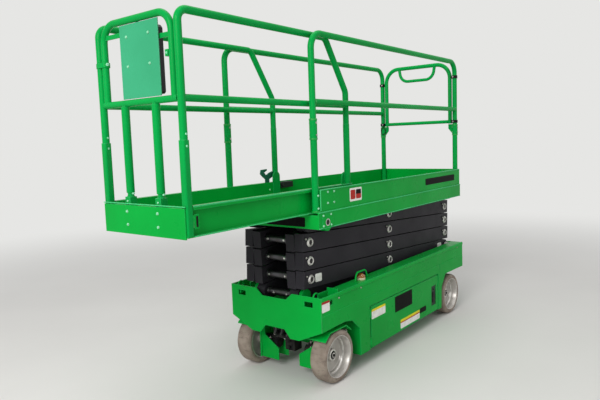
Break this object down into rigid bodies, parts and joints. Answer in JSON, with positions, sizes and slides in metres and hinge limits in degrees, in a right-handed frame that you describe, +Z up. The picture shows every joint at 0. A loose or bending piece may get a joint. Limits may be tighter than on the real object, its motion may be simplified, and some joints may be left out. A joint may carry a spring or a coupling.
{
  "type": "self-propelled electric scissor lift, narrow slab type, with roll-out deck extension",
  "caption": "Green narrow electric scissor lift, scissor stowed and deck extension rolled out, with black arms, guard rails and grey tyres.",
  "frame": {"origin": "on the ground under the middle of the bounding box", "axes": "+X forward, towards the steered wheels and the roll-out deck; +Y to the machine's left; +Z up"},
  "size_m": [3.38, 0.83, 2.3329],
  "materials": {
    "green_paint": "satin green enamel",
    "arm_black": "satin charcoal enamel",
    "black_steel": "black enamel",
    "tyre_grey": "non-marking grey rubber",
    "rim_silver": "silver enamel",
    "bare_steel": "machined steel",
    "chrome_rod": "hard chrome",
    "deck_steel": "green chequer plate",
    "amber_lens": "clear amber",
    "box_black": "moulded",
    "battery_case": "moulded"
  },
  "bodies": {
    "chassis": {"chassis_sides": "green_paint", "chassis_front_plate": "green_paint", "chassis_deck": "green_paint", "chassis_spine": "green_paint", "chassis_rear_plate": "green_paint", "rear_ladder": "green_paint", "rear_axle": "black_steel", "beacon_light": "amber_lens", "beacon_guard": "green_paint"},
    "knuckle_left": {"knuckle_left": "green_paint", "drive_motor_left": "black_steel"},
    "wheel_front_left": {"tyre_front_left": "tyre_grey", "rim_front_left": "rim_silver"},
    "wheel_rear_left": {"tyre_rear_left": "tyre_grey", "rim_rear_left": "rim_silver"},
    "tray_left": {"tray_door_left": "green_paint", "battery_pack": "battery_case"},
    "pothole_guard_left": {"pothole_guard_left": "green_paint"},
    "knuckle_right": {"knuckle_right": "green_paint", "drive_motor_right": "black_steel"},
    "wheel_front_right": {"tyre_front_right": "tyre_grey", "rim_front_right": "rim_silver"},
    "wheel_rear_right": {"tyre_rear_right": "tyre_grey", "rim_rear_right": "rim_silver"},
    "tray_right": {"tray_door_right": "green_paint", "hydraulic_unit": "black_steel"},
    "pothole_guard_right": {"pothole_guard_right": "green_paint"},
    "tie_rod": {"tie_rod": "bare_steel"},
    "inner_arm_1": {"inner_arm_1": "arm_black"},
    "outer_arm_1": {"outer_arm_1": "arm_black", "chassis_rollers": "bare_steel"},
    "inner_arm_2": {"inner_arm_2": "arm_black"},
    "outer_arm_2": {"outer_arm_2": "arm_black"},
    "inner_arm_3": {"inner_arm_3": "arm_black"},
    "outer_arm_3": {"outer_arm_3": "arm_black"},
    "inner_arm_4": {"inner_arm_4": "arm_black", "deck_rollers": "bare_steel"},
    "outer_arm_4": {"outer_arm_4": "arm_black"},
    "lift_barrel_1": {"lift_barrel_1": "black_steel"},
    "lift_rod_1": {"lift_rod_1": "chrome_rod"},
    "lift_barrel_3": {"lift_barrel_3": "black_steel"},
    "lift_rod_3": {"lift_rod_3": "chrome_rod"},
    "platform": {"platform_frame": "green_paint", "platform_deck": "deck_steel", "toe_panels": "green_paint", "rear_toe_board": "green_paint", "main_guard_rails": "green_paint"},
    "entry_gate": {"entry_gate": "green_paint"},
    "extension": {"extension_deck": "green_paint", "extension_guard_rails": "green_paint", "extension_front_rail": "green_paint", "control_plate": "green_paint", "control_box": "box_black"}
  },
  "joints": [
    {"name": "steer_left", "type": "hinge", "parent": "chassis", "child": "knuckle_left", "pos_m": [0.458, 0.31, 0.35], "axis": [0, 0, 1], "range_deg": [-45, 45]},
    {"name": "wheel_spin_front_left", "type": "hinge", "parent": "knuckle_left", "child": "wheel_front_left", "pos_m": [0.458, 0.3365, 0.1815], "axis": [0, 1, 0], "continuous": true},
    {"name": "wheel_spin_rear_left", "type": "hinge", "parent": "chassis", "child": "wheel_rear_left", "pos_m": [-1.394, 0.3365, 0.1815], "axis": [0, 1, 0], "continuous": true},
    {"name": "steer_right", "type": "hinge", "parent": "chassis", "child": "knuckle_right", "pos_m": [0.458, -0.31, 0.35], "axis": [0, 0, 1], "range_deg": [-45, 45]},
    {"name": "wheel_spin_front_right", "type": "hinge", "parent": "knuckle_right", "child": "wheel_front_right", "pos_m": [0.458, -0.3365, 0.1815], "axis": [0, 1, 0], "continuous": true},
    {"name": "wheel_spin_rear_right", "type": "hinge", "parent": "chassis", "child": "wheel_rear_right", "pos_m": [-1.394, -0.3365, 0.1815], "axis": [0, 1, 0], "continuous": true},
    {"name": "tie_rod_swing", "type": "hinge", "parent": "knuckle_left", "child": "tie_rod", "pos_m": [0.252, 0.31, 0.282], "axis": [0, 0, 1], "range_deg": [-45, 45]},
    {"name": "tray_swing_left", "type": "hinge", "parent": "chassis", "child": "tray_left", "pos_m": [0.053, 0.402, 0.27], "axis": [0, 0, -1], "range_deg": [0, 90]},
    {"name": "guard_drop_left", "type": "slide", "parent": "chassis", "child": "pothole_guard_left", "axis": [0, 0, -1], "range_m": [0, 0.08]},
    {"name": "tray_swing_right", "type": "hinge", "parent": "chassis", "child": "tray_right", "pos_m": [0.053, -0.402, 0.27], "axis": [0, 0, 1], "range_deg": [0, 90]},
    {"name": "guard_drop_right", "type": "slide", "parent": "chassis", "child": "pothole_guard_right", "axis": [0, 0, -1], "range_m": [0, 0.08]},
    {"name": "lift", "type": "hinge", "parent": "chassis", "child": "inner_arm_1", "pos_m": [0.5666, 0, 0.597], "axis": [0, 1, 0], "range_deg": [0, 55]},
    {"name": "cross_1", "type": "hinge", "parent": "inner_arm_1", "child": "outer_arm_1", "pos_m": [-0.5014, 0, 0.6599], "axis": [0, -1, 0], "range_deg": [0, 110]},
    {"name": "link_1", "type": "hinge", "parent": "outer_arm_1", "child": "inner_arm_2", "pos_m": [0.5666, 0, 0.7228], "axis": [0, 1, 0], "range_deg": [0, 110]},
    {"name": "cross_2", "type": "hinge", "parent": "inner_arm_2", "child": "outer_arm_2", "pos_m": [-0.5014, 0, 0.7857], "axis": [0, -1, 0], "range_deg": [0, 110]},
    {"name": "link_2", "type": "hinge", "parent": "outer_arm_2", "child": "inner_arm_3", "pos_m": [0.5666, 0, 0.8486], "axis": [0, 1, 0], "range_deg": [0, 110]},
    {"name": "cross_3", "type": "hinge", "parent": "inner_arm_3", "child": "outer_arm_3", "pos_m": [-0.5014, 0, 0.9115], "axis": [0, -1, 0], "range_deg": [0, 110]},
    {"name": "link_3", "type": "hinge", "parent": "outer_arm_3", "child": "inner_arm_4", "pos_m": [0.5666, 0, 0.9744], "axis": [0, 1, 0], "range_deg": [0, 110]},
    {"name": "cross_4", "type": "hinge", "parent": "inner_arm_4", "child": "outer_arm_4", "pos_m": [-0.5014, 0, 1.0373], "axis": [0, -1, 0], "range_deg": [0, 110]},
    {"name": "platform_level", "type": "hinge", "parent": "outer_arm_4", "child": "platform", "pos_m": [0.5666, 0, 1.1002], "axis": [0, 1, 0], "range_deg": [0, 55]},
    {"name": "barrel_swing_1", "type": "hinge", "parent": "inner_arm_1", "child": "lift_barrel_1", "pos_m": [-0.93081, 0, 0.68519], "axis": [0, -1, 0], "range_deg": [0, 119.3]},
    {"name": "rod_stroke_1", "type": "slide", "parent": "lift_barrel_1", "child": "lift_rod_1", "axis": [0.9952, 0, 0.0982], "range_m": [0, 0.4139]},
    {"name": "barrel_swing_3", "type": "hinge", "parent": "inner_arm_3", "child": "lift_barrel_3", "pos_m": [-0.93081, 0, 0.93679], "axis": [0, -1, 0], "range_deg": [0, 119.3]},
    {"name": "rod_stroke_3", "type": "slide", "parent": "lift_barrel_3", "child": "lift_rod_3", "axis": [0.9952, 0, 0.0982], "range_m": [0, 0.4139]},
    {"name": "extension_slide", "type": "slide", "parent": "platform", "child": "extension", "axis": [1, 0, 0], "range_m": [-0.9, 0]},
    {"name": "gate_swing", "type": "hinge", "parent": "platform", "child": "entry_gate", "pos_m": [-1.554, -0.332, 2], "axis": [0, 0, -1], "range_deg": [0, 90]}
  ],
  "couplings": [
    {"joint": "steer_right", "follows": "steer_left", "ratio": 1},
    {"joint": "tie_rod_swing", "follows": "steer_left", "ratio": -1},
    {"joint": "guard_drop_left", "follows": "lift", "m_per_rad": 0.083338},
    {"joint": "guard_drop_right", "follows": "lift", "m_per_rad": 0.083338},
    {"joint": "cross_1", "follows": "lift", "ratio": 2},
    {"joint": "link_1", "follows": "lift", "ratio": 2},
    {"joint": "cross_2", "follows": "lift", "ratio": 2},
    {"joint": "link_2", "follows": "lift", "ratio": 2},
    {"joint": "cross_3", "follows": "lift", "ratio": 2},
    {"joint": "link_3", "follows": "lift", "ratio": 2},
    {"joint": "cross_4", "follows": "lift", "ratio": 2},
    {"joint": "platform_level", "follows": "lift", "ratio": 1},
    {"joint": "barrel_swing_1", "follows": "lift", "ratio": 2.1668},
    {"joint": "rod_stroke_1", "follows": "lift", "m_per_rad": 0.43015},
    {"joint": "barrel_swing_3", "follows": "lift", "ratio": 2.1668},
    {"joint": "rod_stroke_3", "follows": "lift", "m_per_rad": 0.43015}
  ]
}
